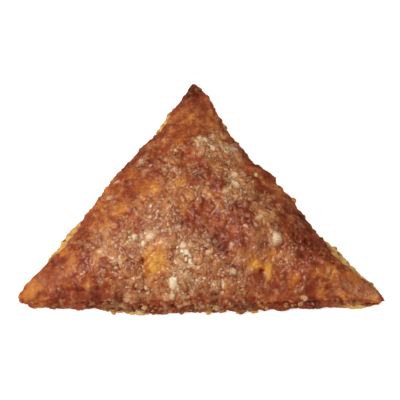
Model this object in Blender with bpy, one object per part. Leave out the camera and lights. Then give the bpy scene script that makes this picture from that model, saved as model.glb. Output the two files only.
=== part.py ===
"""Apple turnover: one filled triangle of puff pastry with coarse sugar baked on to it.

Metres, +Z up. The turnover lies on z = 0 with its long side to -Y and its apex to +Y.
The origin is the middle of its box, on the table.
"""

import math
import random

import bmesh
import bpy
from mathutils import Matrix, Vector, noise

MM = 0.001

# Driving sizes of the baked pastry
LONG_SIDE = 163.5 * MM  # left corner to right corner
DEPTH = 108.9 * MM  # long side to apex
APEX_LEAN = -3.0 * MM  # the apex sits a little left of the middle
EDGE_THICKNESS = 12.0 * MM  # table to shoulder, halfway along a side
DOME_RISE = 21.0 * MM  # how far the filling lifts the lid above the shoulder
SHOULDER_UNEVENNESS = 1.4 * MM
CORNER_THINNING = 0.42  # share of the thickness that a corner loses
CORNER_REACH = 15.0 * MM
DOME_RUN = 20.0 * MM  # how quickly the lid rises from a side
DOME_FILL = 0.66  # share of the rise that the three sides leave at the middle
LUMP_SPACING = 17.0 * MM  # apple pieces under the lid
LUMP_HEIGHT = 2.6 * MM
BLISTER_SPACING = 6.5 * MM
BLISTER_HEIGHT = 0.9 * MM
RAGGED_SPACING = 7.0 * MM  # torn layers along the cut edges
RAGGED_DEPTH = 0.8 * MM
BOX_CENTRE = Vector((0.2 * MM, 51.6 * MM))  # middle of the outline's box, in plan

# Mesh
CELLS = 54  # lid cells along each side
NOISE_SEED = Vector((7.3, 2.9, 4.1))

# From the table up, the side wall's rings:
# (how far in from the outline along a side, the same at a corner, share of the edge thickness)
WALL_RINGS = (
    ("foot", 1.8 * MM, 3.6 * MM, 0.0),
    ("lower_lip", 0.3 * MM, 2.0 * MM, 0.18),
    ("lip_top", 0.6 * MM, 1.2 * MM, 0.46),
    ("seam", 2.1 * MM, 1.7 * MM, 0.6),
    ("skin_edge", 1.2 * MM, 0.4 * MM, 0.76),
    ("shoulder", 2.8 * MM, 1.3 * MM, 1.0),
)
TIP_SPREAD = 1.5  # how far the rounding of a tip reaches, over its depth
TIP_REACH = 9.0 * MM  # how far from a corner the corner's insets hold

# The corners of the outline, anticlockwise, and the sides between them
LEFT = Vector((-LONG_SIDE / 2, 0))
RIGHT = Vector((LONG_SIDE / 2, 0))
APEX = Vector((APEX_LEAN, DEPTH))
SIDES = {"front": (LEFT, RIGHT), "right": (RIGHT, APEX), "left": (APEX, LEFT)}
BLUNTING = ((LEFT, 1.6 * MM), (RIGHT, 0.6 * MM), (APEX, 0.9 * MM))  # how far each tip is rounded off

# Where baking pushed a side out or drew it in: (share along the side, half-width as a share, push out)
SWELLS = {
    "front": (
        (0.46, 0.42, 3.0 * MM),
        (0.40, 0.05, 1.4 * MM),
        (0.25, 0.03, -0.6 * MM),
        (0.62, 0.03, 1.5 * MM),
        (0.32, 0.03, 0.9 * MM),
        (0.06, 0.05, 0.4 * MM),
        (0.95, 0.05, 0.8 * MM),
    ),
    "right": (
        (0.35, 0.12, -2.3 * MM),
        (0.20, 0.08, -1.7 * MM),
        (0.68, 0.11, -2.8 * MM),
        (0.50, 0.04, -0.4 * MM),
        (0.05, 0.05, 2.1 * MM),
        (0.975, 0.035, 1.9 * MM),
    ),
    "left": (
        (0.05, 0.05, 1.1 * MM),
        (0.21, 0.05, -1.4 * MM),
        (0.30, 0.04, 0.4 * MM),
        (0.46, 0.07, 1.2 * MM),
        (0.68, 0.10, 0.3 * MM),
        (0.73, 0.06, -1.3 * MM),
        (0.93, 0.05, 1.7 * MM),
    ),
}
# Where the lower sheet sticks out past the lid: (share along the side, half-width as a share, reach)
LIP_OUTCROPS = {
    "front": ((0.30, 0.06, 1.1 * MM), (0.52, 0.04, 0.8 * MM), (0.66, 0.03, 0.8 * MM), (0.88, 0.08, 0.9 * MM)),
    "right": ((0.20, 0.08, 3.0 * MM), (0.86, 0.06, 0.9 * MM)),
    "left": ((0.20, 0.05, 1.0 * MM), (0.73, 0.06, 2.8 * MM), (0.45, 0.06, 0.7 * MM)),
}
OUTCROP_SHARES = {"foot": 0.7, "lower_lip": 1.0, "lip_top": 0.9}  # how far each ring follows the outcrops

# Coarse sugar: the places it fell thickest, in plan from the middle of the long side: (x, y, reach, weight)
SUGAR_DRIFTS = (
    (9 * MM, 68 * MM, 11 * MM, 1.0),
    (19 * MM, 55 * MM, 14 * MM, 1.2),
    (33 * MM, 34 * MM, 13 * MM, 1.0),
    (-6 * MM, 43 * MM, 14 * MM, 0.6),
    (-22 * MM, 30 * MM, 10 * MM, 0.8),
    (-42 * MM, 20 * MM, 11 * MM, 0.8),
    (-4 * MM, 20 * MM, 16 * MM, 1.1),
    (-17 * MM, 8 * MM, 14 * MM, 0.9),
    (12 * MM, 12 * MM, 13 * MM, 0.7),
    (42 * MM, 12 * MM, 9 * MM, 0.3),
)
SUGAR_EVERYWHERE = 0.10  # weight of the sugar away from the drifts
# The lumps that stand out: (x, y, half-length)
LARGEST_GRAINS = (
    (3 * MM, 72 * MM, 2.0 * MM),
    (7 * MM, 67 * MM, 1.9 * MM),
    (4 * MM, 63 * MM, 1.8 * MM),
    (14 * MM, 66 * MM, 1.8 * MM),
    (27 * MM, 55 * MM, 1.4 * MM),
    (16 * MM, 47 * MM, 2.7 * MM),
    (20 * MM, 45 * MM, 1.6 * MM),
    (4 * MM, 45 * MM, 1.5 * MM),
    (12 * MM, 41 * MM, 2.1 * MM),
    (17 * MM, 39 * MM, 1.8 * MM),
    (6 * MM, 38 * MM, 2.4 * MM),
    (30 * MM, 32 * MM, 2.7 * MM),
    (36 * MM, 21 * MM, 3.0 * MM),
    (15 * MM, 17 * MM, 1.5 * MM),
    (16 * MM, 8 * MM, 2.2 * MM),
    (7 * MM, 4 * MM, 2.4 * MM),
    (-23 * MM, 21 * MM, 2.9 * MM),
    (-26 * MM, 18 * MM, 1.8 * MM),
    (-30 * MM, 21 * MM, 1.9 * MM),
    (-34 * MM, 21 * MM, 2.3 * MM),
    (-29 * MM, 32 * MM, 2.1 * MM),
    (-14 * MM, 33 * MM, 2.0 * MM),
    (-39 * MM, 11 * MM, 2.0 * MM),
    (-36 * MM, 10 * MM, 2.0 * MM),
    (-47 * MM, 16 * MM, 2.0 * MM),
    (-27 * MM, 4 * MM, 1.9 * MM),
    (-12 * MM, 5 * MM, 2.7 * MM),
    (-6 * MM, 14 * MM, 1.3 * MM),
    (-4 * MM, 11 * MM, 1.3 * MM),
    (-11 * MM, 11 * MM, 1.3 * MM),
    (0 * MM, 9 * MM, 1.3 * MM),
    (49 * MM, -1 * MM, 1.8 * MM),
)
GRAINS = 150  # in all, the largest ones among them
GRAIN_SIZES = (1.1 * MM, 1.9 * MM)  # half-length of the smallest and the largest drawn grain
GRAIN_SPACING = 3.6 * MM
GRAIN_SINK = 0.35  # share of its half-length that a grain is pressed in
GRAIN_SEED = 11


def bump(share, places):
    """The sum of smooth swellings at a share of the way along a side."""
    return sum(push * math.exp(-(((share - at) / half_width) ** 2)) for at, half_width, push in places)


def outward(start, end):
    along = (end - start).normalized()
    return Vector((along.y, -along.x))


def shares(point):
    """How much of the apex, the left and the right corner is in a point of the flat triangle."""
    whole = (RIGHT - LEFT).cross(APEX - LEFT)
    apex = (RIGHT - LEFT).cross(point - LEFT) / whole
    right = (point - LEFT).cross(APEX - LEFT) / whole
    return apex, 1 - apex - right, right


def sides_at(point):
    """For each side: its name, how far the point is from it, and the share of the way along it."""
    apex, left, right = shares(point)
    for name, away, before, after in (
        ("front", apex, left, right),
        ("right", left, right, apex),
        ("left", right, apex, left),
    ):
        start, end = SIDES[name]
        altitude = (RIGHT - LEFT).cross(APEX - LEFT) / (end - start).length
        yield name, away * altitude, after / max(before + after, 1e-9)


def corner_nearness(point, reach):
    return sum(math.exp(-(((point - corner).length / reach) ** 2)) for corner in (LEFT, RIGHT, APEX))


def incentre():
    lengths = ((RIGHT - LEFT).length, (APEX - RIGHT).length, (LEFT - APEX).length)
    weighted = APEX * lengths[0] + LEFT * lengths[1] + RIGHT * lengths[2]
    radius = (RIGHT - LEFT).cross(APEX - LEFT) / sum(lengths)
    return weighted / sum(lengths), radius


def in_plan(point, ring, ragged=0.0, lip=0.0):
    """A point of the flat triangle, drawn in as that ring of the wall is. lip is the share of the outcrops."""
    middle, radius = incentre()
    _, along_side, at_corner, _ = WALL_RINGS[ring]
    inset = along_side + (at_corner - along_side) * min(1.0, corner_nearness(point, TIP_REACH)) + ragged
    moved = middle + (point - middle) * (1 - inset / radius)
    for name, away, share in sides_at(point):
        push = bump(share, SWELLS[name]) + lip * bump(share, LIP_OUTCROPS[name])
        fade = max(0.0, 1 - away / radius) ** 3
        moved += outward(*SIDES[name]) * push * fade
    for corner, blunting in BLUNTING:
        distance = (point - corner).length
        moved += (middle - corner).normalized() * blunting * math.exp(-((distance / (TIP_SPREAD * blunting)) ** 2))
    return moved


def relief(point, spacing, height, layer=0):
    place = Vector((point.x, point.y, layer * spacing)) / spacing
    return height * noise.noise(place + NOISE_SEED)


def thickness(point):
    """Table to shoulder: less at the corners, and uneven along the sides."""
    even = EDGE_THICKNESS * (1 - CORNER_THINNING * corner_nearness(point, CORNER_REACH))
    return even + relief(point, LUMP_SPACING, SHOULDER_UNEVENNESS, layer=5)


def lid_point(point):
    """A point of the flat triangle on the lid of the turnover."""
    rise = 1.0
    for _, away, _ in sides_at(point):
        rise *= 1 - math.exp(-max(away, 0.0) / DOME_RUN)
    swelling = DOME_RISE * rise / DOME_FILL
    lumps = relief(point, LUMP_SPACING, LUMP_HEIGHT) * min(1.0, rise * 2)
    blisters = relief(point, BLISTER_SPACING, BLISTER_HEIGHT, layer=2)
    plan = in_plan(point, ring=-1)
    return Vector((plan.x, plan.y, thickness(point) + swelling + lumps + blisters))


def wall_point(point, ring):
    """A point of the flat triangle's edge on one ring of the side wall."""
    name, _, _, share = WALL_RINGS[ring]
    ragged = relief(point, RAGGED_SPACING, RAGGED_DEPTH, layer=ring) if share else 0.0
    plan = in_plan(point, ring, ragged, lip=OUTCROP_SHARES.get(name, 0.0))
    return Vector((plan.x, plan.y, thickness(point) * share))


def make_pastry():
    """The pastry as one closed mesh: a triangle of fine cells for the lid, then rings down the side to the table."""
    mesh = bmesh.new()
    corners = [mesh.verts.new((corner.x, corner.y, 0)) for corner in (LEFT, RIGHT, APEX)]
    mesh.faces.new(corners)
    bmesh.ops.subdivide_edges(mesh, edges=mesh.edges[:], cuts=CELLS - 1, use_grid_fill=True)
    flat = {vertex: Vector(vertex.co.xy) for vertex in mesh.verts}
    edge = [e for e in mesh.edges if e.is_boundary]
    rim = {vertex for e in edge for vertex in e.verts}
    for vertex, point in flat.items():
        lifted = wall_point(point, len(WALL_RINGS) - 1) if vertex in rim else lid_point(point)
        vertex.co = (lifted.x, lifted.y, lid_point(point).z)
    above = {vertex: flat[vertex] for vertex in rim}
    for ring in reversed(range(len(WALL_RINGS) - 1)):
        made = bmesh.ops.extrude_edge_only(mesh, edges=edge)["geom"]
        edge = [e for e in made if isinstance(e, bmesh.types.BMEdge) and e.is_boundary]
        below = {}
        for vertex in {v for e in edge for v in e.verts}:
            upper = next(e.other_vert(vertex) for e in vertex.link_edges if e.other_vert(vertex) in above)
            below[vertex] = above[upper]
        for vertex, point in below.items():
            vertex.co = wall_point(point, ring)
        above = below
    bmesh.ops.triangle_fill(mesh, edges=edge, use_beauty=True)
    bmesh.ops.recalc_face_normals(mesh, faces=mesh.faces[:])
    bmesh.ops.translate(mesh, verts=mesh.verts[:], vec=(-BOX_CENTRE.x, -BOX_CENTRE.y, 0))
    return mesh


def sugar_weight(point):
    """How likely a grain is to have stayed at a point of the flat triangle."""
    weight = SUGAR_EVERYWHERE
    for x, y, reach, most in SUGAR_DRIFTS:
        weight += most * math.exp(-(((point - Vector((x, y))).length / reach) ** 2))
    return min(1.0, weight)


def grain_places():
    """Point of the flat triangle and half-length of each grain, thick in the drifts and never crowded."""
    draw = random.Random(GRAIN_SEED)
    placed = [(Vector((x, y)), size) for x, y, size in LARGEST_GRAINS]
    smallest, largest = GRAIN_SIZES
    while len(placed) < GRAINS:
        first, second = sorted((draw.random(), draw.random()))
        point = LEFT * first + RIGHT * (second - first) + APEX * (1 - second)
        wanted = draw.random() < sugar_weight(point)
        if wanted and all((point - other).length > GRAIN_SPACING for other, _ in placed):
            placed.append((point, largest + (smallest - largest) * len(placed) / GRAINS))
    return placed


def make_grain(name, point, size, draw):
    """One crystal lump: a squashed icosphere with uneven corners, lying on the lid."""
    step = 0.5 * MM
    here = lid_point(point)
    slope_x = lid_point(point + Vector((step, 0))) - here
    slope_y = lid_point(point + Vector((0, step))) - here
    normal = slope_x.cross(slope_y).normalized()
    mesh = bmesh.new()
    bmesh.ops.create_icosphere(mesh, subdivisions=1, radius=size)
    for vertex in mesh.verts:
        vertex.co *= draw.uniform(0.82, 1.12)
        vertex.co.x *= 1.15
        vertex.co.z *= 0.8
    turn = normal.to_track_quat("Z", "Y").to_matrix().to_4x4() @ Matrix.Rotation(draw.uniform(0, math.tau), 4, "Z")
    centre = here - normal * size * GRAIN_SINK - Vector((BOX_CENTRE.x, BOX_CENTRE.y, 0))
    bmesh.ops.transform(mesh, matrix=Matrix.Translation(centre) @ turn, verts=mesh.verts[:])
    return as_object(name, mesh)


def as_object(name, mesh):
    data = bpy.data.meshes.new(name)
    mesh.to_mesh(data)
    mesh.free()
    return bpy.data.objects.new(name, data)


def baked_pastry():
    """Egg-washed puff pastry with melted sugar on it: amber brown, half gloss."""
    material = bpy.data.materials.new("baked_pastry")
    material.use_nodes = True
    shader = material.node_tree.nodes["Principled BSDF"]
    shader.inputs["Base Color"].default_value = (0.36, 0.12, 0.05, 1)
    shader.inputs["Roughness"].default_value = 0.45
    shader.inputs["Metallic"].default_value = 0.0
    return material


def main():
    for old in list(bpy.data.objects):
        bpy.data.objects.remove(old)
    turnover_parts = bpy.data.collections.new("apple_turnover")
    grains = bpy.data.collections.new("sugar_grains")
    bpy.context.scene.collection.children.link(turnover_parts)
    bpy.context.scene.collection.children.link(grains)

    turnover = as_object("turnover", make_pastry())
    turnover.data.materials.append(baked_pastry())
    turnover_parts.objects.link(turnover)

    draw = random.Random(GRAIN_SEED + 1)
    for number, (point, size) in enumerate(grain_places()):
        grains.objects.link(make_grain(f"grain_{number}", point, size, draw))

    join = turnover.modifiers.new("sugar_baked_on", "BOOLEAN")
    join.operation = "UNION"
    join.operand_type = "COLLECTION"
    join.collection = grains
    bpy.context.view_layer.objects.active = turnover
    bpy.ops.object.modifier_apply(modifier=join.name)
    for grain in list(grains.objects):
        bpy.data.objects.remove(grain)
    bpy.data.collections.remove(grains)
    turnover.data.shade_smooth()
    turnover.data.set_sharp_from_angle(angle=math.radians(40))


main()
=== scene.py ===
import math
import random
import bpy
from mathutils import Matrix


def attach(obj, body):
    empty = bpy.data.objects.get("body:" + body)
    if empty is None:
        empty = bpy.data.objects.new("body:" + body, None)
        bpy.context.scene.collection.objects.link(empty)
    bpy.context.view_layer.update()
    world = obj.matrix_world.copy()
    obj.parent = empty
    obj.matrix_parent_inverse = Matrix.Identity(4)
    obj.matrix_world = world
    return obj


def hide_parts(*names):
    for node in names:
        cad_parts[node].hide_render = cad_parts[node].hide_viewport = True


bl_info = {
    "name": "Apple Turnover",
    "version": (1, 0, 0),
    "blender": (4, 5, 0),
    "location": "3D View > Sidebar > Turnover",
    "description": "A baked apple turnover with a sugared crust, dressed over its packed solid",
    "category": "Object",
}

from types import SimpleNamespace

import bmesh
import bpy
import numpy as np
from bpy.props import FloatProperty, FloatVectorProperty, IntProperty, PointerProperty
from bpy.types import Operator, Panel, PropertyGroup
from mathutils import Matrix, Vector, noise

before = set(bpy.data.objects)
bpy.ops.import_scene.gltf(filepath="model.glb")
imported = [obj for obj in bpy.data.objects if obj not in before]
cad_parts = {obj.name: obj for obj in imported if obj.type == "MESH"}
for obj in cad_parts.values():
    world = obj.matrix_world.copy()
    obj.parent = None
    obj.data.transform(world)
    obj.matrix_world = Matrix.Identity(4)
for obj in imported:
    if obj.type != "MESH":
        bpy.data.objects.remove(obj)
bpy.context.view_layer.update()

MM = 0.001


def linear(hex_code):
    """The scene-linear colour of an sRGB hex code."""
    channels = [int(hex_code[i : i + 2], 16) / 255 for i in (0, 2, 4)]
    return tuple(c / 12.92 if c <= 0.04045 else ((c + 0.055) / 1.055) ** 2.4 for c in channels)


# ------------------------------------------------------------------ the turnover's form, as in the solid

APEX_LEAN = -3.0 * MM
SHOULDER_UNEVENNESS = 1.4 * MM
SIDE_ENDS = {"front": ("left", "right"), "right": ("right", "apex"), "left": ("apex", "left")}
CORNER_THINNING = 0.42  # share of the thickness that a corner loses
CORNER_REACH = 15.0 * MM
DOME_RUN = 20.0 * MM  # how quickly the lid rises from a side
DOME_FILL = 0.66  # share of the rise that the three sides leave at the middle
LUMP_SPACING = 17.0 * MM  # apple pieces under the lid
LUMP_HEIGHT = 2.6 * MM
BLISTER_SPACING = 6.5 * MM
BLISTER_HEIGHT = 0.9 * MM
RAGGED_SPACING = 7.0 * MM  # torn layers along the cut edges
RAGGED_DEPTH = 0.8 * MM
NOISE_SEED = (7.3, 2.9, 4.1)
BOX_CENTRE = np.array((0.2 * MM, 51.6 * MM))  # middle of the outline's box, in plan
TIP_REACH = 9.0 * MM  # how far from a corner the corner's insets hold
TIP_SPREAD = 1.5  # how far the rounding of a tip reaches, over its depth
BLUNTING = {"left": 1.6 * MM, "right": 0.7 * MM, "apex": 0.9 * MM}  # how far each tip is rounded off

# From the table up: name, inset along a side, inset at a corner, share of the edge thickness
WALL_RINGS = (
    ("foot", 1.8 * MM, 3.6 * MM, 0.0),
    ("lower_lip", 0.3 * MM, 2.0 * MM, 0.18),
    ("lip_top", 0.6 * MM, 1.2 * MM, 0.46),
    ("seam", 2.1 * MM, 1.7 * MM, 0.6),
    ("skin_edge", 1.2 * MM, 0.4 * MM, 0.76),
    ("shoulder", 2.8 * MM, 1.3 * MM, 1.0),
)
RING_NAMES = [name for name, *_ in WALL_RINGS]
OUTCROP_SHARES = {"foot": 0.7, "lower_lip": 1.0, "lip_top": 0.9}  # how far each ring follows the outcrops

# Where baking pushed a side out or drew it in: (share along the side, half-width as a share, push out)
SWELLS = {
    "front": (
        (0.46, 0.42, 2.75 * MM),
        (0.40, 0.05, 1.4 * MM),
        (0.25, 0.03, -0.6 * MM),
        (0.62, 0.03, 0.6 * MM),
        (0.32, 0.03, 0.9 * MM),
        (0.06, 0.05, 0.4 * MM),
        (0.95, 0.05, 0.8 * MM),
    ),
    "right": (
        (0.35, 0.12, -2.3 * MM),
        (0.20, 0.08, -1.7 * MM),
        (0.68, 0.11, -2.8 * MM),
        (0.50, 0.04, -0.4 * MM),
        (0.80, 0.05, -0.8 * MM),
        (0.05, 0.05, 2.1 * MM),
        (0.975, 0.035, 1.9 * MM),
    ),
    "left": (
        (0.05, 0.05, 1.1 * MM),
        (0.21, 0.05, -1.4 * MM),
        (0.30, 0.04, 0.4 * MM),
        (0.46, 0.07, 1.2 * MM),
        (0.68, 0.10, 0.3 * MM),
        (0.73, 0.06, -1.3 * MM),
        (0.93, 0.05, 1.7 * MM),
    ),
}
# Where the lower sheet alone sticks out past the lid, in the same terms
LIP_OUTCROPS = {
    "front": (
        (0.27, 0.03, 0.9 * MM),
        (0.52, 0.03, 0.6 * MM),
        (0.63, 0.02, 0.6 * MM),
        (0.92, 0.06, 0.6 * MM),
    ),
    "right": (
        (0.20, 0.08, 2.4 * MM),
        (0.08, 0.06, 1.1 * MM),
        (0.69, 0.04, 0.7 * MM),
        (0.81, 0.03, 0.7 * MM),
    ),
    "left": (
        (0.18, 0.055, 1.2 * MM),
        (0.72, 0.07, 2.2 * MM),
        (0.795, 0.03, 0.5 * MM),
        (0.45, 0.06, 0.7 * MM),
    ),
}
# Where the lid alone swells out, or draws back where the push is negative, in the same terms
LID_SWELLS = {
    "front": (),
    "right": (
        (0.0, 0.03, 0.9 * MM),
        (0.08, 0.06, -0.5 * MM),
        (0.19, 0.07, -1.2 * MM),
        (0.36, 0.05, 0.6 * MM),
        (0.455, 0.018, 0.7 * MM),
        (0.51, 0.015, -0.6 * MM),
        (0.56, 0.02, 1.3 * MM),
        (0.62, 0.03, -0.6 * MM),
        (0.79, 0.06, -1.1 * MM),
        (0.925, 0.035, 2.4 * MM),
    ),
    "left": (
        (0.19, 0.06, -0.7 * MM),
        (0.71, 0.07, -0.9 * MM),
        (0.79, 0.035, -0.9 * MM),
        (0.95, 0.03, 0.4 * MM),
    ),
}

# ------------------------------------------------------------------ sugar and browning, in plan

# Places are in millimetres from the middle of the long side: (x, y, reach, weight)
SUGAR_DRIFTS = (
    (9, 68, 11, 1.0),
    (19, 55, 14, 1.2),
    (33, 34, 13, 0.85),
    (-6, 43, 14, 0.6),
    (-22, 30, 10, 0.8),
    (-42, 20, 11, 0.8),
    (-4, 20, 16, 1.1),
    (-17, 8, 14, 0.8),
    (12, 12, 13, 0.6),
    (42, 12, 9, 0.3),
    (-34, 3, 9, 0.6),
    (-15, 0, 10, 0.6),
    (6, 1, 10, 0.45),
    (17, 2, 5, 0.5),
    (26, 0, 8, 0.35),
    (-20, 61, 17, 0.3),
    (-46, 36, 11, 0.35),
    (22, 31, 6, -0.6),
    (-4, 19, 4, -0.5),
    (0, 53, 5, -0.6),
    (-31, 30, 6, -0.8),
    (12, 15, 4, -0.4),
    (45, -1, 6, 0.5),
    (50, 33, 10, -1.3),
    (28, 61, 9, -1.8),
    (-1, 29, 7, -1.4),
    (7, 19, 6, -0.9),
    (-18, 22, 4, -0.5),
    (5, 46, 5, -0.7),
    (16, 22, 6, -0.5),
    (36, 50, 7, -0.7),
    (60, 14, 10, -1.0),
    (-10, 88, 10, -0.6),
)
SUGAR_EVERYWHERE = 0.08  # how thickly sugar lies between the drifts
# The lumps of sugar that stand out: (x, y, half-length, paleness)
LARGEST_LUMPS = (
    (3, 72, 2.0, 0.85),
    (7, 67, 1.9, 0.8),
    (4, 63, 1.8, 0.4),
    (14, 66, 1.8, 0.5),
    (27, 55, 1.4, 0.9),
    (17, 46, 2.8, 0.75),
    (20, 45, 1.6, 0.3),
    (4, 45, 1.5, 0.5),
    (12, 41, 2.1, 0.4),
    (17, 39, 1.8, 0.6),
    (6, 38, 2.4, 0.3),
    (30, 32, 2.7, 0.25),
    (36, 21, 3.4, 0.8),
    (15, 17, 1.5, 0.85),
    (16, 8, 2.2, 0.7),
    (7, 4, 2.4, 0.5),
    (-22.5, 21, 3.2, 0.8),
    (-26, 18, 1.8, 0.8),
    (-30, 21, 1.9, 0.8),
    (-34, 21, 2.3, 0.15),
    (-29, 32, 2.1, 0.5),
    (-14, 33, 2.0, 0.4),
    (-39, 11, 2.0, 0.5),
    (-36, 10, 2.0, 0.5),
    (-46, 16, 2.0, 0.55),
    (-27, 4, 1.9, 0.5),
    (-12, 5, 2.7, 0.95),
    (-6, 14, 1.5, 0.85),
    (-4, 11, 1.5, 0.85),
    (-11, 11, 1.5, 0.85),
    (0, 9, 1.5, 0.85),
    (49, -1, 1.8, 0.6),
)
# Where a cloudy crust of sugar lies over everything: (x, y, reach along x, reach along y, amount)
CLOUDY_PLACES = (
    (-8, 11, 6, 6, 0.55),
    (-12, 1, 7, 5, 0.4),
    (-15, -4, 8, 3, 0.4),
    (-30, 8, 6, 3, 0.2),
    (5, 70, 6, 5, 0.55),
    (15, 71, 6, 5, 0.95),
    (20, 64, 4, 3, 0.7),
    (-71, 6, 9, 6, 0.7),
    (70, 2, 12, 6, 0.9),
    (78, 0, 4, 6, 0.6),
    (48, 31, 3, 4, 0.4),
    (-41, 10, 4, 4, 0.3),
    (-3, 93, 12, 10, 0.35),
    (58, 22, 5, 5, 0.3),
    (47, 32, 5, 5, 0.6),
    (-59, 11, 5, 4, 0.3),
    (-53, 29, 3, 3, 0.6),
    (42, 42, 3, 3, 0.6),
    (28, 21, 4, 3, 0.6),
    (11, 79, 4, 4, 0.3),
    (-4, 10, 5, 5, 0.4),
    (26, 15, 5, 4, 0.9),
    (-12, 5, 3, 3, 0.7),
    (35, 22, 5, 4, 0.7),
    (-38, 9, 5, 4, 0.3),
    (15, 47, 3, 3, 0.2),
    (33, 27, 5, 6, 0.45),
    (-25, 20, 5, 4, 0.45),
    (-33, 22, 5, 4, 0.35),
    (15, 43, 5, 4, 0.35),
    (28, 34, 6, 5, 0.3),
    (-45, 16, 3, 3, 0.5),
    (13, 7, 5, 3, 0.2),
)
# Where the crust is smooth, with hardly a wrinkle, in the same terms
SMOOTH_PLACES = (
    (-3, 98, 20, 20, 1.0),
    (70, 3, 18, 10, 0.9),
    (-72, 3, 14, 10, 0.6),
    (22, 62, 12, 5, 0.8),
    (46, 36, 10, 10, 0.7),
    (1, 28, 10, 6, 0.5),
)
# Where the crust stayed golden, and then where it caught: (x, y, reach along x, reach along y, amount)
GOLDEN_PLACES = (
    (-1, 88, 6, 4, 0.14),
    (-79, -1, 4, 4, 0.20),
    (-11, 38, 5, 4, 0.14),
    (-4, 81, 9, 4, 0.10),
    (-60, 11, 4, 3, 0.15),
    (-9, 88, 5, 5, 0.05),
    (26, 15, 4, 3, 0.10),
    (-7, 32, 4, 3, 0.30),
    (10, 81, 4, 4, 0.15),
    (41, 42, 3, 3, 0.20),
    (46, 31, 3, 3, 0.20),
    (33, 50, 5, 3, 0.14),
    (-43, 33, 9, 7, 0.20),
    (-23, 43, 7, 4, 0.25),
    (-9, 46, 4, 6, 0.20),
    (-21, 11.5, 6, 6, 0.60),
    (-33, 7, 5, 3, 0.22),
    (27, 10, 6, 2.4, 0.50),
    (32, 7.5, 2, 4, 0.40),
    (40, 8, 3, 2, 0.20),
    (8, 57, 2, 2, 0.20),
    (19, 49.5, 2.5, 2, 0.25),
    (-76, 3, 6, 3, 0.14),
    (-68, 9, 6, 3, 0.10),
    (-64, 18, 4, 3, 0.35),
    (6, 40, 4, 3, 0.22),
    (13, 20, 4, 2, 0.10),
    (30, 32, 4, 5, 0.22),
    (31, 21, 4, 3, 0.20),
    (-44, 40, 5, 3, 0.20),
    (-39, 32, 4, 3, 0.15),
    (-43, 17, 6, 4, 0.12),
    (76, -3, 8, 4, 0.30),
    (67, 2, 7, 3, 0.16),
)
BROWNED_PLACES = (
    (-2, 105, 8, 5, 0.35),
    (-28, 73, 6, 8, 0.30),
    (-19, 85, 3, 5, 0.20),
    (-22, 64, 6, 5, 0.20),
    (-3, 28, 7, 4, 0.22),
    (12, 26, 6, 4, 0.15),
    (24, 33, 10, 7, 0.26),
    (-31, -1, 5, 3, 0.20),
    (-50, 19, 5, 4, 0.24),
    (-3, 52, 4, 3, 0.25),
    (-28, 27, 5, 3, 0.15),
    (-3, 17, 5, 3, 0.15),
    (16, 44, 7, 8, 0.16),
    (17, 9, 5, 3, 0.12),
    (8, 46, 4, 4, 0.15),
    (49, 32, 7, 9, 0.30),
    (54, 18, 7, 6, 0.25),
    (50, 9, 6, 3, 0.20),
    (42, 42, 5, 8, 0.20),
    (29, 6, 3, 2, 0.35),
    (33, 3, 4, 3, 0.20),
    (-66, 13, 4, 3, 0.12),
    (-56, 26, 4, 4, 0.15),
    (-50, 1, 12, 3, 0.20),
    (56, -5, 12, 3, 0.25),
    (27, 61, 7, 4, 0.08),
    (10, -1, 5, 4, 0.16),
    (-13, 60, 5, 4, 0.14),
    (-39, 51, 5, 4, 0.12),
    (13, 8, 5, 3, 0.22),
    (-20, 60, 10, 8, 0.10),
    (28, 40, 4, 4, 0.14),
    (-5, -1, 5, 3, 0.14),
    (-14, 7, 4, 3, 0.10),
    (2, 4, 6, 3, 0.18),
    (-20, 4, 4, 3, 0.12),
    (9, 59, 4, 3, 0.12),
    (-10, 50, 4, 3, 0.12),
    (26, 0, 5, 3, 0.08),
    (-28, 2, 5, 3, 0.10),
    (6, 20, 4, 5, 0.28),
    (-17, 22, 4, 3, 0.20),
    (6, 17, 5, 3, 0.40),
    (18, 16, 6, 3, 0.28),
    (46, 38, 4, 8, 0.15),
)
# The slit in the lid and small pits: (x, y, half-width, half-length, depth)
PITS = (
    (-26.5, 11, 0.7, 1.7, 2.4),
    (51, 22, 1.2, 2.0, 1.6),
    (-11, 63, 0.8, 1.0, 0.8),
    (-20.5, 57, 0.8, 0.8, 0.8),
    (29, 8, 1.3, 1.0, 1.2),
    (24, 61, 0.8, 0.8, 0.7),
    (8, 24, 0.9, 0.9, 0.6),
)
# Soft folds: (x, y, to x, to y, half-width, depth pressed into the lid, or raised where it is negative)
FOLDS = (
    (-74, 1.0, -62, 2.2, 0.9, 0.5),
    (-62, 2.2, -47, 1.6, 1.0, 0.6),
    (42, 2.0, 56, 1.6, 0.8, 0.5),
    (56, 1.6, 70, 3.0, 0.8, 0.5),
    (52, 4.6, 64, 4.8, 0.7, 0.4),
    (64, 14, 56, 24, 0.9, 0.5),
    (33, 47, 25, 56, 1.0, 0.4),
    (53, 17, 63, 10, 1.8, -0.6),
    (41.5, 34.5, 48.5, 26, 1.2, -0.9),
    (17.5, 51.0, 21.5, 47.5, 1.0, -0.9),
    (19.4, 52.2, 23.4, 48.0, 0.6, 1.0),
    (40, 40, 44, 36, 0.8, 0.5),
    (46, 24, 41, 29, 0.9, 0.5),
)

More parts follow.
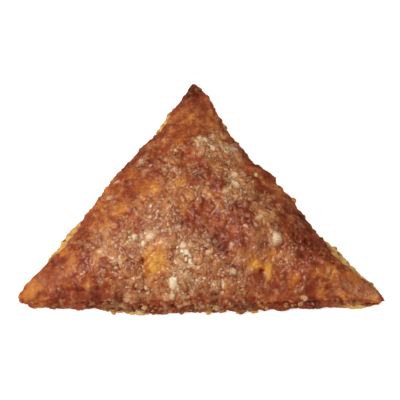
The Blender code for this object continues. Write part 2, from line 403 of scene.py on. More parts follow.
# Crumbs stuck to the sides: (side, share along it, ring, half-length in millimetres, paleness, browning)
CRUMBS = (
    ("front", 0.268, 1, 1.3, 0.2, 0.1),
    ("front", 0.285, 1, 1.7, 0.3, 0.0),
    ("front", 0.305, 1, 1.4, 0.1, 0.2),
    ("front", 0.322, 1, 1.6, 0.4, 0.1),
    ("front", 0.336, 1, 2.1, 0.6, 0.0),
    ("front", 0.349, 1, 1.8, 0.5, 0.0),
    ("front", 0.352, 2, 1.3, 0.35, 0.1),
    ("front", 0.420, 2, 1.2, 0.0, 0.5),
    ("front", 0.450, 1, 1.3, 0.0, 0.6),
    ("front", 0.505, 2, 1.5, 0.3, 0.1),
    ("front", 0.525, 1, 1.6, 0.2, 0.1),
    ("front", 0.545, 2, 1.4, 0.4, 0.2),
    ("front", 0.565, 1, 1.2, 0.1, 0.3),
    ("front", 0.608, 1, 1.6, 0.4, 0.1),
    ("front", 0.630, 2, 1.3, 0.2, 0.3),
    ("front", 0.650, 1, 1.6, 0.3, 0.1),
    ("front", 0.665, 2, 1.2, 0.1, 0.3),
    ("front", 0.735, 2, 1.3, 0.3, 0.75),
    ("front", 0.755, 2, 1.5, 0.3, 0.75),
    ("front", 0.775, 2, 1.3, 0.4, 0.75),
    ("front", 0.795, 2, 1.4, 0.3, 0.75),
    ("right", 0.505, 4, 1.9, 0.2, 0.4),
    ("right", 0.447, 4, 1.7, 0.1, 0.1),
    ("right", 0.380, 4, 1.8, 0.0, 0.6),
    ("right", 0.345, 4, 1.3, 0.0, 0.6),
)
# Unevenness of the browning: (spacing, amount, layer of the noise)
BROWNING_MIDDLE = 0.52
BROWNING_UNEVENNESS = (
    (14.0 * MM, 0.2, 21),
    (5.5 * MM, 0.3, 22),
    (2.6 * MM, 0.14, 23),
)
EDGE_BROWNING = 0.03
EDGE_BROWNING_REACH = 7.0 * MM
WARP = 2.2 * MM  # how far the outlines of smooth spots are shifted
WARP_SPACING = 5.0 * MM

# Packing the melted lumps, from the largest down: (size over a large lump, places tried)
LUMP_SIZES = ((1.0, 1200), (0.62, 4000), (0.42, 12000), (0.3, 14000))
LARGEST_SHOWING = 0.9  # share of a largest lump's half-length that stands clear of its neighbours
WHITENING_REACH = 3.2 * MM  # how far the largest lumps whiten those beside them
DRAWN_DOWN = (1.0, 1.0, 0.65)  # spots run down the slopes, as the wash and the syrup did

# ------------------------------------------------------------------ the form, worked out in plan

# The flat triangle's corners, which the crust's operator sets out
CORNERS = {}


def set_out_corners(shape):
    """The flat triangle's corners, from the driving sizes."""
    CORNERS["left"] = np.array((-shape.long_side / 2, 0.0))
    CORNERS["right"] = np.array((shape.long_side / 2, 0.0))
    CORNERS["apex"] = np.array((APEX_LEAN, shape.depth))


def side_ends(name):
    """The corners where a side starts and ends, anticlockwise as seen from above."""
    start, end = SIDE_ENDS[name]
    return CORNERS[start], CORNERS[end]


def cross(a, b):
    """Twice the area between vectors in the plane, positive where b is anticlockwise of a."""
    return a[..., 0] * b[..., 1] - a[..., 1] * b[..., 0]


def outward(name):
    """The direction in plan in which a side faces."""
    start, end = side_ends(name)
    along = (end - start) / np.linalg.norm(end - start)
    return np.array((along[1], -along[0]))


def bump(share, places):
    """The sum of smooth swells (share, half-width, push) at these shares of a side."""
    return sum(push * np.exp(-(((share - at) / half) ** 2)) for at, half, push in places)


def sides_at(points):
    """For each side: its name, how far the points are from it, and the share of the way along it."""
    left, right, apex = CORNERS["left"], CORNERS["right"], CORNERS["apex"]
    whole = cross(right - left, apex - left)
    to_apex = cross(right - left, points - left) / whole
    to_right = cross(points - left, apex - left) / whole
    to_left = 1 - to_apex - to_right
    for name, away, before, after in (
        ("front", to_apex, to_left, to_right),
        ("right", to_left, to_right, to_apex),
        ("left", to_right, to_apex, to_left),
    ):
        start, end = side_ends(name)
        yield name, away * whole / np.linalg.norm(end - start), after / np.maximum(before + after, 1e-9)


def corner_nearness(points, reach):
    """1 at a corner, and falling to 0 over about the reach."""
    return sum(np.exp(-(np.linalg.norm(points - c, axis=1) / reach) ** 2) for c in CORNERS.values())


def incentre():
    """The middle and the radius of the circle that touches all three sides."""
    left, right, apex = CORNERS["left"], CORNERS["right"], CORNERS["apex"]
    facing_apex, facing_left, facing_right = (
        np.linalg.norm(end - start) for start, end in (side_ends(name) for name in SIDE_ENDS)
    )
    perimeter = facing_apex + facing_left + facing_right
    middle = (apex * facing_apex + left * facing_left + right * facing_right) / perimeter
    return middle, cross(right - left, apex - left) / perimeter


def noise_at(points, spacing, layer=0.0):
    """Smooth noise from -1 to 1 over the plan, or in space, one bump about every spacing."""
    places = np.zeros((len(points), 3))
    places[:, : points.shape[1]] = points / spacing
    places += np.array(NOISE_SEED) + np.array((0, 0, layer))
    return np.array([noise.noise(place) for place in places.tolist()])


def in_plan(points, ring, ragged=0.0, lip=0.0):
    """Points of the flat triangle drawn in to a ring, in plan, with the swells of their sides.

    The rings of the lower sheet follow the outcrops by the share lip. The rest, where it is 0, follow the lid.
    """
    middle, radius = incentre()
    _, along_side, at_corner, _ = WALL_RINGS[ring]
    nearness = np.minimum(1.0, corner_nearness(points, TIP_REACH))
    inset = along_side + (at_corner - along_side) * nearness + ragged
    moved = middle + (points - middle) * (1 - inset / radius)[:, None]
    for name, away, share in sides_at(points):
        push = bump(share, SWELLS[name]) + lip * bump(share, LIP_OUTCROPS[name])
        if lip == 0:
            push = push + bump(share, LID_SWELLS[name])
        fade = np.maximum(0.0, 1 - away / radius) ** 3
        moved += outward(name) * (push * fade)[:, None]
    for corner, blunting in BLUNTING.items():
        distance = np.linalg.norm(points - CORNERS[corner], axis=1)
        inward = (middle - CORNERS[corner]) / np.linalg.norm(middle - CORNERS[corner])
        moved += inward * (blunting * np.exp(-((distance / (TIP_SPREAD * blunting)) ** 2)))[:, None]
    return moved


def thickness(points, shape):
    """How far the shoulder is above the table: less at the corners, and uneven along the sides."""
    even = shape.edge_thickness * (1 - CORNER_THINNING * corner_nearness(points, CORNER_REACH))
    return even + SHOULDER_UNEVENNESS * noise_at(points, LUMP_SPACING, 5)


def lid_at(points, shape):
    """Points of the flat triangle on the smooth lid, as the solid has it."""
    rise = np.ones(len(points))
    for _, away, _ in sides_at(points):
        rise *= 1 - np.exp(-np.maximum(away, 0.0) / DOME_RUN)
    z = thickness(points, shape) + shape.dome_rise * rise / DOME_FILL
    z += LUMP_HEIGHT * noise_at(points, LUMP_SPACING) * np.minimum(1.0, rise * 2)
    z += BLISTER_HEIGHT * noise_at(points, BLISTER_SPACING, 2)
    return np.column_stack((in_plan(points, -1), z))


def wall_at(points, shape, ring):
    """Points of the flat triangle's edge on one ring of the side wall."""
    name, _, _, share = WALL_RINGS[ring]
    ragged = RAGGED_DEPTH * noise_at(points, RAGGED_SPACING, ring) if share else 0.0
    plan = in_plan(points, ring, ragged, OUTCROP_SHARES.get(name, 0.0))
    return np.column_stack((plan, thickness(points, shape) * share))


def spread(points, places):
    """The sum of smooth spots (x, y, reach, weight) at the points."""
    total = np.zeros(len(points))
    for x, y, reach, weight in places:
        away = np.linalg.norm(points - np.array((x, y)) * MM, axis=1) / (reach * MM)
        total += weight * np.exp(-(away**2))
    return total


def spots(points, places):
    """The sum of smooth oval spots (x, y, reach along x, reach along y, amount) at the points."""
    total = np.zeros(len(points))
    for x, y, reach_x, reach_y, amount in places:
        away = (points - np.array((x, y)) * MM) / (np.array((reach_x, reach_y)) * MM)
        total += amount * np.exp(-(away**2).sum(axis=1))
    return total


def line_nearness(points, lines):
    """How strongly each straight fold (x, y, to x, to y, half-width, amount) shows at the points."""
    total = np.zeros(len(points))
    for x, y, to_x, to_y, half, amount in lines:
        start, along = np.array((x, y)) * MM, np.array((to_x - x, to_y - y)) * MM
        share = np.clip((points - start) @ along / (along @ along), 0, 1)
        away = np.linalg.norm(points - start - share[:, None] * along, axis=1) / (half * MM)
        total += amount * np.exp(-(away**2))
    return total


def sugar_weight(points):
    """How thickly the sugar lies, from 0 to 1: in drifts, broken up by patches of bare crust."""
    bare = np.clip(spots(points, GOLDEN_PLACES) * 2, 0, 0.8)
    drifts = np.minimum(1.1, spread(points, SUGAR_DRIFTS)) + 0.9 * noise_at(points, 7 * MM, 61)
    smooth = np.clip(spots(points, SMOOTH_PLACES), 0, 1)
    return np.clip((drifts - 0.15) * 1.6, SUGAR_EVERYWHERE, 1) * (1 - bare) * (1 - 0.7 * smooth)


def warp_of(points):
    """Shifts that make the outlines of smooth spots uneven."""
    return WARP * np.column_stack([noise_at(points, WARP_SPACING, layer) for layer in (11, 12)])


def browning_at(points):
    """How far the crust has browned: 0 pale gold to 1 mahogany."""
    edge = np.ones(len(points))
    for _, away, _ in sides_at(points):
        edge = np.minimum(edge, np.maximum(away, 0.0) / EDGE_BROWNING_REACH)
    browning = BROWNING_MIDDLE
    for spacing, amount, layer in BROWNING_UNEVENNESS:
        browning = browning + amount * noise_at(points, spacing, layer)
    warped = points + warp_of(points)
    browning += EDGE_BROWNING * (1 - edge)
    return browning - spots(warped, GOLDEN_PLACES) + spots(warped, BROWNED_PLACES)


# ------------------------------------------------------------------ meshes


def as_object(name, vertices, faces, material, attributes):
    """A smooth mesh object with a number on each point for every attribute."""
    mesh = bpy.data.meshes.new(name)
    mesh.from_pydata(np.asarray(vertices).tolist(), [], np.asarray(faces).tolist())
    for key, values in attributes.items():
        layer = mesh.attributes.new(key, "FLOAT", "POINT")
        layer.data.foreach_set("value", np.asarray(values, dtype=np.float32))
    mesh.shade_smooth()
    mesh.materials.append(material)
    made = bpy.data.objects.new(name, mesh)
    bpy.context.scene.collection.objects.link(made)
    return made


def drawn_places(draw, tries, weigh):
    """Places drawn evenly over the flat triangle, each kept as often as weigh says, from 0 to 1."""
    left, right, apex = CORNERS["left"], CORNERS["right"], CORNERS["apex"]
    u = np.sort(np.array([[draw.random(), draw.random()] for _ in range(tries)]), axis=1)
    places = left * u[:, :1] + right * (u[:, 1:] - u[:, :1]) + apex * (1 - u[:, 1:])
    return places[np.array([draw.random() for _ in range(tries)]) < weigh(places)]


def sugar_lumps(sugar):
    """Every lump of melted sugar on the lid, packed side by side.

    Each is its place, half-length, stretch, turn, paleness and tone.
    """
    draw = random.Random(11)
    points = np.array([(x * MM, y * MM) for x, y, _, _ in LARGEST_LUMPS])
    sizes = np.array([LARGEST_SHOWING * size * MM for _, _, size, _ in LARGEST_LUMPS])
    for size, tries in LUMP_SIZES:
        for place in drawn_places(draw, tries, sugar_weight):
            half = sugar.large_size * size * draw.uniform(0.7, 1.2)
            if (np.linalg.norm(points - place, axis=1) > sugar.packing * (sizes + half)).all():
                points, sizes = np.vstack((points, place)), np.append(sizes, half)
    largest = np.array([0.95 * paleness for _, _, _, paleness in LARGEST_LUMPS])
    apart = np.linalg.norm(points[:, None] - points[None, : len(largest)], axis=2)
    near = (largest * np.exp(-((apart / WHITENING_REACH) ** 2))).max(axis=1)
    drifted = np.clip(0.3 + sugar_weight(points), 0, 1) * (1 + 0.7 * noise_at(points, 9 * MM, 61))
    lumps = []
    for index, (point, size) in enumerate(zip(points, sizes)):
        own = draw.betavariate(1.0, 3.4) * drifted[index]
        pale = largest[index] if index < len(largest) else min(1, own + 0.3 * near[index])
        back = min(max((point[1] - 50 * MM) / (25 * MM), 0), 1)
        stretch = draw.uniform(1.0, 1.3) * (1 - back) + 1.25 * back
        turn = math.pi / 2 + draw.uniform(-math.pi / 2, math.pi / 2) * (1 - 0.75 * back)
        lumps.append((point, size, stretch, turn, pale, draw.random()))
    return lumps


def across(normals):
    """Two directions square to each normal and to one another."""
    first = np.cross(np.array((0.0, 1.0, 0.0)), normals)
    first /= np.linalg.norm(first, axis=1)[:, None]
    return first, np.cross(normals, first)


def melted_lumps(surface, centres, normals, lumps, height):
    """Domes of melted sugar, as numbers on each point of the surface.

    They are the relief, the lump's paleness and tone, and the depth, 1 at its middle and 0 at its edge.
    """
    relief, paleness, depth, tone = (np.zeros(len(surface)) for _ in range(4))
    warp = 0.8 * MM * np.column_stack([noise_at(surface, 2.4 * MM, layer) for layer in (31, 32, 33)])
    warped = surface + warp
    for (_, size, stretch, turn, pale, shade), centre, east, north in zip(lumps, centres, *across(normals)):
        near = np.nonzero(np.abs(warped - centre).max(axis=1) < 1.4 * size)[0]
        offset = warped[near] - centre
        along = offset @ (east * math.cos(turn) + north * math.sin(turn)) / (size * stretch)
        aside = offset @ (north * math.cos(turn) - east * math.sin(turn)) / (size / stretch)
        inside = 1 - along**2 - aside**2
        near, inside = near[inside > 0], inside[inside > 0]
        if len(near) == 0:
            continue
        dome = 0.4 * relief[near].min() + height * size * inside**0.9
        higher = dome > relief[near]
        near, dome, inside = near[higher], dome[higher], inside[higher]
        relief[near] = dome
        paleness[near] = pale
        depth[near] = inside
        tone[near] = shade
    return SimpleNamespace(relief=relief, paleness=paleness, depth=depth, tone=tone)


def side_lumps(surface, weights, sugar):
    """Lumps of sugar stuck to the sides: drawn among the side's points, more where weights are larger."""
    draw = random.Random(41)
    chosen = draw.choices(range(len(surface)), weights.tolist(), k=sugar.side_count)
    lumps = []
    for index in chosen:
        size = sugar.large_size * draw.triangular(0.25, 0.85, 0.35)
        stretch, turn = draw.uniform(1, 1.3), draw.uniform(0, math.pi)
        lumps.append((surface[index], size, stretch, turn, draw.betavariate(1, 3), draw.random()))
    return np.array(chosen), lumps


def curve_through(rings, upper, t):
    """A point ring between rings upper and upper - 1, on a smooth curve through them all."""
    a, b, c, d = (rings[min(max(i, 0), len(rings) - 1)] for i in (upper + 1, upper, upper - 1, upper - 2))
    return b + 0.5 * t * (c - a + t * (2 * a - 5 * b + 4 * c - d + t * (3 * (b - c) + d - a)))


def draw_out_tip(vertices):
    """Pulls the apex out to the small point that the fold left, narrower than the tip below it."""
    apex = CORNERS["apex"] + np.array((-0.6, -1.5)) * MM  # the middle of what is pulled
    away = (vertices[:, :2] - apex) / (np.array((3.2, 2.2)) * MM)
    pull = np.exp(-(away**2).sum(axis=1)) * np.clip(vertices[:, 2] / (6 * MM), 0.3, 1)
    vertices[:, 1] += 2.2 * MM * pull
    vertices[:, 0] += (apex[0] - vertices[:, 0]) * 0.4 * pull


def triangle_grid(cells):
    """The flat triangle as a grid of small triangles: points, faces, and the rim's points in order."""
    left, right, apex = CORNERS["left"], CORNERS["right"], CORNERS["apex"]
    rows = [cells + 1 - i for i in range(cells + 1)]
    starts = np.concatenate(([0], np.cumsum(rows)))
    i = np.repeat(np.arange(cells + 1), rows)
    j = np.concatenate([np.arange(n) for n in rows])
    flat = left + (apex - left) * (i / cells)[:, None] + (right - left) * (j / cells)[:, None]
    faces = []
    for row in range(cells):
        a, b, n = starts[row], starts[row + 1], cells - row
        k = np.arange(n)
        faces.append(np.column_stack((a + k, a + k + 1, b + k)))
        faces.append(np.column_stack((a + k[1:], b + k[1:], b + k[1:] - 1)))
    front = starts[0] + np.arange(cells)
    up_right = starts[:-2] + np.array(rows[:-1]) - 1
    down_left = starts[1:-1][::-1]
    return flat, faces, np.concatenate((front, up_right, down_left))


def layer_push(edge, row, height, shape, crust):
    """How far each point of a wall row sticks out, where the cut dough tore in layers and crumbled."""
    layer = math.floor(height * shape.edge_thickness / crust.layer_thickness)
    torn = noise_at(edge, 2.4 * MM, 50 + layer) + 0.5 * noise_at(edge, 0.9 * MM, 80 + layer)
    coarse = np.abs(noise_at(row, 3.0 * MM, 91))
    crumbly = 2.4 * coarse + 1.4 * np.abs(noise_at(row, 1.5 * MM, 92)) - 0.6
    ends = min(1.0, 4 * height, 8 * (1 - height))  # dying out at the table and at the shoulder
    return crust.layer_depth * (0.5 * torn + 1.3 * crumbly - 1.0) * ends


def wall_rows(edge, shape, crust):
    """The wall below the shoulder: rows (height share, points) on a smooth curve, with torn layers."""
    rings = [wall_at(edge, shape, ring) for ring in range(len(WALL_RINGS))]
    rings[-1][:, 2] = lid_at(edge, shape)[:, 2]
    lower_lip = rings[RING_NAMES.index("lower_lip")][:, :2]
    out = np.roll(lower_lip, -1, axis=0) - np.roll(lower_lip, 1, axis=0)
    out = np.column_stack((out[:, 1], -out[:, 0])) / np.linalg.norm(out, axis=1)[:, None]
    # The seam is drawn in where the fold stands open, and filled where the lid is sealed down
    tight = tightness(edge)
    closed = np.clip((-50 * MM - edge[:, 0]) / (10 * MM), 0, 1)  # towards the left corner
    seam, skin_edge, lip_top = (RING_NAMES.index(name) for name in ("seam", "skin_edge", "lip_top"))
    rings[seam][:, :2] += out * (0.5 * MM * tight + 0.8 * MM * closed)[:, None]
    rings[skin_edge][:, :2] -= out * (0.4 * MM * tight + 0.4 * MM * closed)[:, None]
    for ring in (lip_top, seam, skin_edge):  # the seam wanders up and down
        rings[ring][:, 2] += 1.3 * MM * noise_at(edge, 16 * MM, 46)
    rows = [(1.0, rings[-1])]
    for upper in range(len(WALL_RINGS) - 1, 0, -1):
        for step in range(1, crust.wall_steps + 1):
            t = step / crust.wall_steps
            row = curve_through(rings, upper, t)
            height = WALL_RINGS[upper][3] * (1 - t) + WALL_RINGS[upper - 1][3] * t
            if height > 0:
                row[:, :2] += out * layer_push(edge, row, height, shape, crust)[:, None]
            rows.append((height, row))
    return rows


def tightness(edge):
    """Where the lid is sealed to the lower lip, 1, and where the fold stands open, 0."""
    right_end = np.clip((edge[:, 0] - 48 * MM) / (6 * MM), 0, 1)
    on_leg = np.clip(edge[:, 1] / (3 * MM), 0, 1)  # 0 along the front and 1 along the two legs
    sealed = np.clip(0.75 + 0.8 * noise_at(edge, 13 * MM, 45), 0, 1)
    return sealed * (1 - right_end) * (1 - 0.5 * on_leg)


def point_normals(points, faces):
    """Each point's normal, the average of its triangles'."""
    a, b, c = (points[faces[:, corner]] for corner in range(3))
    across_face = np.cross(b - a, c - a)
    normals = np.zeros_like(points)
    for corner in range(3):
        np.add.at(normals, faces[:, corner], across_face)
    return normals / np.maximum(np.linalg.norm(normals, axis=1), 1e-15)[:, None]


def bare_dough_at(edge, height):
    """How much of the wall at this height is pale cut dough, and the noise of its layers."""
    outcrop = np.zeros(len(edge))
    for name, side_away, share in sides_at(edge):
        outcrop += (side_away < 0.01 * MM) * bump(share, LIP_OUTCROPS[name]) / (1.2 * MM)
    right_end = np.clip((edge[:, 0] - 61 * MM) / (8 * MM), 0, 1)
    on_leg = np.clip(edge[:, 1] / (3 * MM), 0, 1)
    layered = noise_at(edge, 3.0 * MM, 60 + math.floor(height * 14))
    low = np.clip(1 - height / 0.42, 0, 1) ** 0.3
    dough = (0.35 * on_leg + 1.3 * right_end + 0.3 * layered) * low
    below_seam = np.clip((0.62 - height) / 0.05, 0, 1)
    dough += np.clip(outcrop, 0, 1) * (0.4 + 0.45 * on_leg + 1.5 * layered) * below_seam
    return np.clip(dough, 0, 1), layered


def pastry_form(shape, crust):
    """The pastry before its fine relief: points, triangles, and where each point lies."""
    flat, faces, rim = triangle_grid(crust.cells)
    edge = flat[rim]
    rows = wall_rows(edge, shape, crust)
    surface = [lid_at(flat, shape)]
    surface[0][rim] = rows[0][1]
    plan, heights, upper, count = [flat], [np.full(len(flat), 1.0)], rim, len(flat)
    for height, row in rows[1:]:
        surface.append(row)
        plan.append(edge)
        heights.append(np.full(len(edge), height))
        lower = count + np.arange(len(edge))
        faces.append(np.column_stack((upper, lower, np.roll(upper, -1))))
        faces.append(np.column_stack((np.roll(upper, -1), lower, np.roll(lower, -1))))
        upper, count = lower, count + len(edge)
    form = SimpleNamespace(edge=edge)
    form.surface, form.plan, form.heights, form.faces = (
        np.concatenate(part) for part in (surface, plan, heights, faces)
    )
    form.normals = point_normals(form.surface, form.faces)
    form.on_lid = np.arange(len(form.surface)) < len(flat)
    form.weight = sugar_weight(form.plan)
    form.away = np.min([away for _, away, _ in sides_at(form.plan)], axis=0)
    form.front = np.clip(1 - form.plan[:, 1] / (3 * MM), 0, 1)
    return form


def melted_sugar(form, shape, sugar):
    """The lumps of melted sugar on the lid and on the sides."""
    lumps = sugar_lumps(sugar)
    centres, _ = lid_frames(np.array([place for place, *_ in lumps]), shape)
    normals = np.tile((0.0, 0.0, 1.0), (len(lumps), 1))  # round as seen from above
    among = ~form.on_lid & (form.heights > 0.1)
    chosen, extra = side_lumps(form.surface[among], (0.1 + form.front * form.weight)[among], sugar)
    centres = np.vstack((centres, form.surface[among][chosen]))
    normals = np.vstack((normals, form.normals[among][chosen]))
    return melted_lumps(form.surface, centres, normals, lumps + extra, sugar.lump_height)


def wrinkle(form, crust):
    """Gives the form its blisters, wrinkles, pits and folds."""
    drawn_down = form.surface * DRAWN_DOWN
    warp = 0.8 * MM * noise_at(drawn_down, 2 * MM, 43)[:, None]
    form.blister = np.abs(noise_at(drawn_down + warp, 3.6 * MM, 41))
    form.fine = noise_at(drawn_down, 1.3 * MM, 42)
    form.calm = 1 - 0.85 * np.clip(spots(form.plan, SMOOTH_PLACES), 0, 1)
    raised = 1.3 * (1 - np.exp(-((form.blister / 0.22) ** 2))) + 0.5 * form.fine
    form.wrinkles = crust.crinkle_height * form.calm * raised
    warped = form.plan + 0.3 * warp_of(form.plan)
    form.pits = spots(warped, PITS) * form.on_lid
    form.folds = line_nearness(warped, FOLDS) * form.on_lid


def crust_marks(form, melted):
    """What the material reads at each point, as numbers that are mostly from 0 to 1."""
    plan, heights, on_lid, wall = form.plan, form.heights, form.on_lid, ~form.on_lid
    dough, layered = np.zeros(len(plan)), np.zeros(len(plan))
    for height in np.unique(heights[wall]):
        row = wall & (heights == height)
        dough[row], layered[row] = bare_dough_at(form.edge, height)
    top = np.clip(melted.depth * 3, 0, 1)

    # Painted shadow in the crease between lid and lower lip, fainter where it is sealed and towards the left
    # corner
    seam = np.exp(-(((heights - 0.6 + 0.05 * noise_at(plan, 5 * MM, 47)) / 0.1) ** 2)) * wall
    middle = np.clip((plan[:, 0] + 48 * MM) / (10 * MM), 0, 1)
    seam[wall] *= 1.0 - 0.35 * tightness(plan[wall])
    seam *= 0.25 + 0.75 * middle
    # The lower lip below the crease is made darker, through the browning mark
    lip = form.front * middle * np.clip((0.62 - heights) / 0.1, 0, 1)
    browning = browning_at(plan) + 0.1 * form.fine + 0.1 * layered + 0.2 * lip

    # Painted shade: darker between lumps and blisters, in pits and folds and along the crease, standing in for
    # the shade that falls in these hollows
    between_blisters = np.clip(1 - form.blister / 0.12, 0, 1)
    low = (1 - top) * (0.22 * form.weight * on_lid + 0.3 * form.calm * between_blisters)
    painted_shade = np.clip(low + form.pits + 0.8 * np.maximum(form.folds, 0) + seam, 0, 1)

    # The glaze thins out towards the legs, in hollows and where the crust caught
    leg_away = np.min([away for name, away, _ in sides_at(plan) if name != "front"], axis=0)
    glaze = np.clip((leg_away - 3 * MM) / (12 * MM), 0, 1) * np.clip(form.away / (3 * MM), 0.4, 1)
    glaze *= (1 - 0.8 * painted_shade) * (1 - np.clip(browning - 0.6, 0, 0.6))
    sugared = glaze * (0.5 + 0.5 * np.maximum(form.weight, top))
    cloudy = spots(plan + warp_of(plan), CLOUDY_PLACES) * on_lid
    whole = melted.depth**0.7
    return {
        "browning": browning,
        "lump": melted.depth**0.55 * (0.6 + 1.0 * melted.tone) * (0.3 + 0.7 * form.weight),
        "syrup": 0.14 * form.weight * on_lid + 0.45 * cloudy + 0.6 * melted.paleness * whole,
        "glaze": np.where(on_lid, sugared, 0.4 * form.front),
        "paleness": melted.paleness * whole + 0.3 * cloudy,
        "bare_dough": dough * (1 - 0.7 * top),
        "painted_shade": painted_shade,
    }


def crust_mesh(shape, crust, sugar):
    """Vertices, triangles and marks of the whole pastry, with its fine relief."""
    form = pastry_form(shape, crust)
    melted = melted_sugar(form, shape, sugar)
    wrinkle(form, crust)
    top = np.clip(melted.depth * 3, 0, 1)
    sunk = np.where(form.on_lid, (form.pits + form.folds) * MM, 0.5 * form.wrinkles)
    near_edge, near_table = np.clip(form.away / (1.0 * MM), 0.3, 1), np.clip(form.heights / 0.15, 0, 1)
    held = np.where(form.on_lid, near_edge, near_table)
    relief = (melted.relief + form.wrinkles * (1 - 0.6 * top)) * held - sunk
    vertices = form.surface + form.normals * relief[:, None]
    vertices[:, 2] = np.maximum(vertices[:, 2], 0)
    draw_out_tip(vertices)
    vertices[:, :2] -= BOX_CENTRE
    return vertices, form.faces, crust_marks(form, melted)


def close_underside(made):
    """Fills the last ring with triangles, flat on the table."""
    mesh = bmesh.new()
    mesh.from_mesh(made.data)
    mesh.verts.ensure_lookup_table()
    edges = [e for e in mesh.edges if e.is_boundary]
    bmesh.ops.triangle_fill(mesh, edges=edges, use_beauty=True)
    bmesh.ops.recalc_face_normals(mesh, faces=mesh.faces[:])
    for face in mesh.faces:
        face.smooth = True
    mesh.to_mesh(made.data)
    mesh.free()


def lump_shapes(subdivisions, kinds, seed):
    """A few uneven rounded crystals of half-length 1: their vertices, and the triangles they share."""
    mesh = bmesh.new()
    bmesh.ops.create_icosphere(mesh, subdivisions=subdivisions, radius=1)
    ball = np.array([v.co for v in mesh.verts])
    faces = np.array([[v.index for v in f.verts] for f in mesh.faces])
    mesh.free()
    draw = random.Random(seed)
    shapes = []
    for _ in range(kinds):
        squareness = draw.uniform(0.0, 0.7)
        box = ball / np.abs(ball).max(axis=1)[:, None]
        shape = ball * (1 - squareness * 0.5) + box * (squareness * 0.5 * 0.8)
        place = Vector((draw.uniform(0, 50), draw.uniform(0, 50), draw.uniform(0, 50)))
        rays = [Vector(v) for v in ball]
        broad = np.array([noise.noise(ray * 1.2 + place) for ray in rays])
        narrow = np.array([noise.noise(ray * 2.8 + place) for ray in rays])
        shapes.append(shape * (1 + 0.3 * broad + 0.2 * narrow)[:, None])
    return shapes, faces


def lid_frames(points, shape):
    """Where the points lie on the lid, and the lid's normals there."""
    step = 0.6 * MM
    here = lid_at(points, shape)
    slope_x = lid_at(points + np.array((step, 0)), shape) - here
    slope_y = lid_at(points + np.array((0, step)), shape) - here
    normals = np.cross(slope_x, slope_y)
    return here, normals / np.linalg.norm(normals, axis=1)[:, None]


def scatter(count, spacing, weigh, draw):
    """Up to count places of the flat triangle, drawn as weigh says and never closer than spacing."""
    placed = np.zeros((0, 2))
    batches = 0
    while len(placed) < count and batches < 400:
        batches += 1
        for point in drawn_places(draw, 400, weigh):
            if len(placed) < count and (np.linalg.norm(placed - point, axis=1) > spacing).all():
                placed = np.vstack((placed, point))
    return placed


def lumps_mesh(places, normals, sizes, shapes, faces, draw, sink, flatness):
    """All the lumps as one mesh: vertices, triangles, and for each point its lump and its height on it.

    The height is about -1 at the bottom and 1 at the top. The lumps sink into the crust by sink half-lengths.
    """
    vertices, triangles, owners, heights = [], [], [], []
    for number, (place, normal, size) in enumerate(zip(places, normals, sizes)):
        shape = draw.choice(shapes)
        scale = np.array((draw.uniform(0.95, 1.3), draw.uniform(0.8, 1.05), draw.uniform(*flatness))) * size
        tilt = Matrix.Rotation(draw.gauss(0, 0.25), 3, "X")
        spin = Matrix.Rotation(draw.uniform(0, math.tau), 3, "Z")
        turn = np.array(Vector(normal).to_track_quat("Z", "Y").to_matrix() @ (tilt @ spin))
        turned = (shape * scale) @ turn.T
        vertices.append(turned + place + normal * size * (flatness[0] * 0.8 - sink))
        triangles.append(faces + number * len(shape))
        owners.append(np.full(len(shape), number))
        heights.append(turned @ np.array(normal) / (size * flatness[1]))
    return (np.concatenate(part) for part in (vertices, triangles, owners, heights))


def sugar_marks(points, pale, owner, height):
    """What the sugar's material reads: paler towards the top of a lump, and stained as the crust under it."""
    return {
        "paleness": pale[owner] * np.clip(height * 1.5 + 0.3, 0, 1),
        "browning": np.clip(browning_at(points), 0, 1)[owner],
    }


# ------------------------------------------------------------------ materials

# Spacing of each pattern, as the real spots measure
BROWN_SPOTS = 4.5 * MM  # blisters that browned first
BROWN_SPECKS = 1.6 * MM  # bubbles in the egg wash
SYRUP_CLOUDS = 2.4 * MM
WHITE_SPECKS = 0.7 * MM  # crystals within a lump
GLAZE_RIPPLE = 1.4 * MM
BAKED_GRAIN = 0.7 * MM


def add_node(tree, kind, inputs=None, output=0, **settings):
    """Adds a node, sets its properties, gives its inputs values or links, and returns one of its outputs."""
    node = tree.nodes.new(kind)
    for key, value in settings.items():
        setattr(node, key, value)
    for key, value in (inputs or {}).items():
        socket = node.inputs[key]
        if isinstance(value, bpy.types.NodeSocket):
            tree.links.new(value, socket)
        elif socket.type == "RGBA" and len(value) == 3:
            socket.default_value = (*value, 1)
        else:
            socket.default_value = value
    return node.outputs[output] if len(node.outputs) else None


def new_material(name, marks=()):
    """An empty material: itself, its node tree and the outputs that read the marks on the mesh."""
    material = bpy.data.materials.new(name)
    material.use_nodes = True
    tree = material.node_tree
    tree.nodes.clear()
    read = {}
    for mark in marks:
        read[mark] = add_node(tree, "ShaderNodeAttribute", output="Fac", attribute_name=mark)
    return material, tree, read


def mottle(tree, spacing, detail=2.0, gain=1.0, offset=0.0):
    """Noise with one spot about every spacing, from about 0.25 to 0.75, times the gain, plus the offset."""
    place = add_node(tree, "ShaderNodeTexCoord", output="Object")
    place = add_node(tree, "ShaderNodeVectorMath", {0: place, 1: DRAWN_DOWN}, operation="MULTIPLY")
    inputs = {"Vector": place, "Scale": 1 / spacing, "Detail": detail, "Roughness": 0.6}
    spotted = add_node(tree, "ShaderNodeTexNoise", inputs, "Fac")
    if (gain, offset) == (1.0, 0.0):
        return spotted
    return add_node(tree, "ShaderNodeMath", {0: spotted, 1: gain, 2: offset}, operation="MULTIPLY_ADD")


